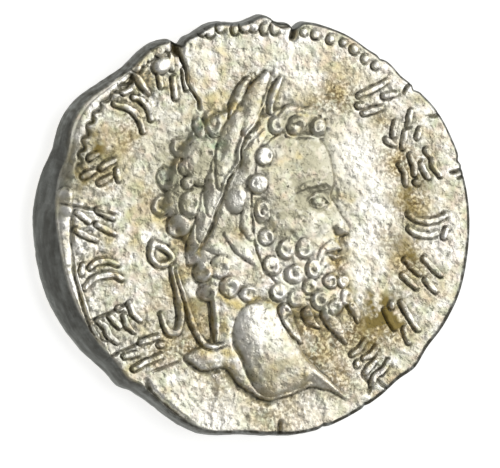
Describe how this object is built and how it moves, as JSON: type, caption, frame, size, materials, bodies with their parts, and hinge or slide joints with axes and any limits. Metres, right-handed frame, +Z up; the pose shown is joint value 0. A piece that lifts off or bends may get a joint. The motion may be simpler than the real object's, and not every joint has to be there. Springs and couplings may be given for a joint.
{
  "type": "struck silver coin",
  "caption": "Worn hand-struck silver coin with a bearded, laurel-wreathed head in relief, a ring of strokes, a beaded border and a cracked uneven edge.",
  "frame": {"origin": "centre of the coin's underside, on the plane that its reverse rests on", "axes": "+Z up out of the head side, +Y to the top of the head, +X to the side that the head faces"},
  "size_m": [0.0196, 0.018, 0.002],
  "materials": {
    "silver": "hand-struck silver alloy, worn bright on the high parts, with grey-brown toning in the hollows and a dark edge"
  },
  "bodies": {
    "root": {"coin": "silver"}
  },
  "joints": []
}
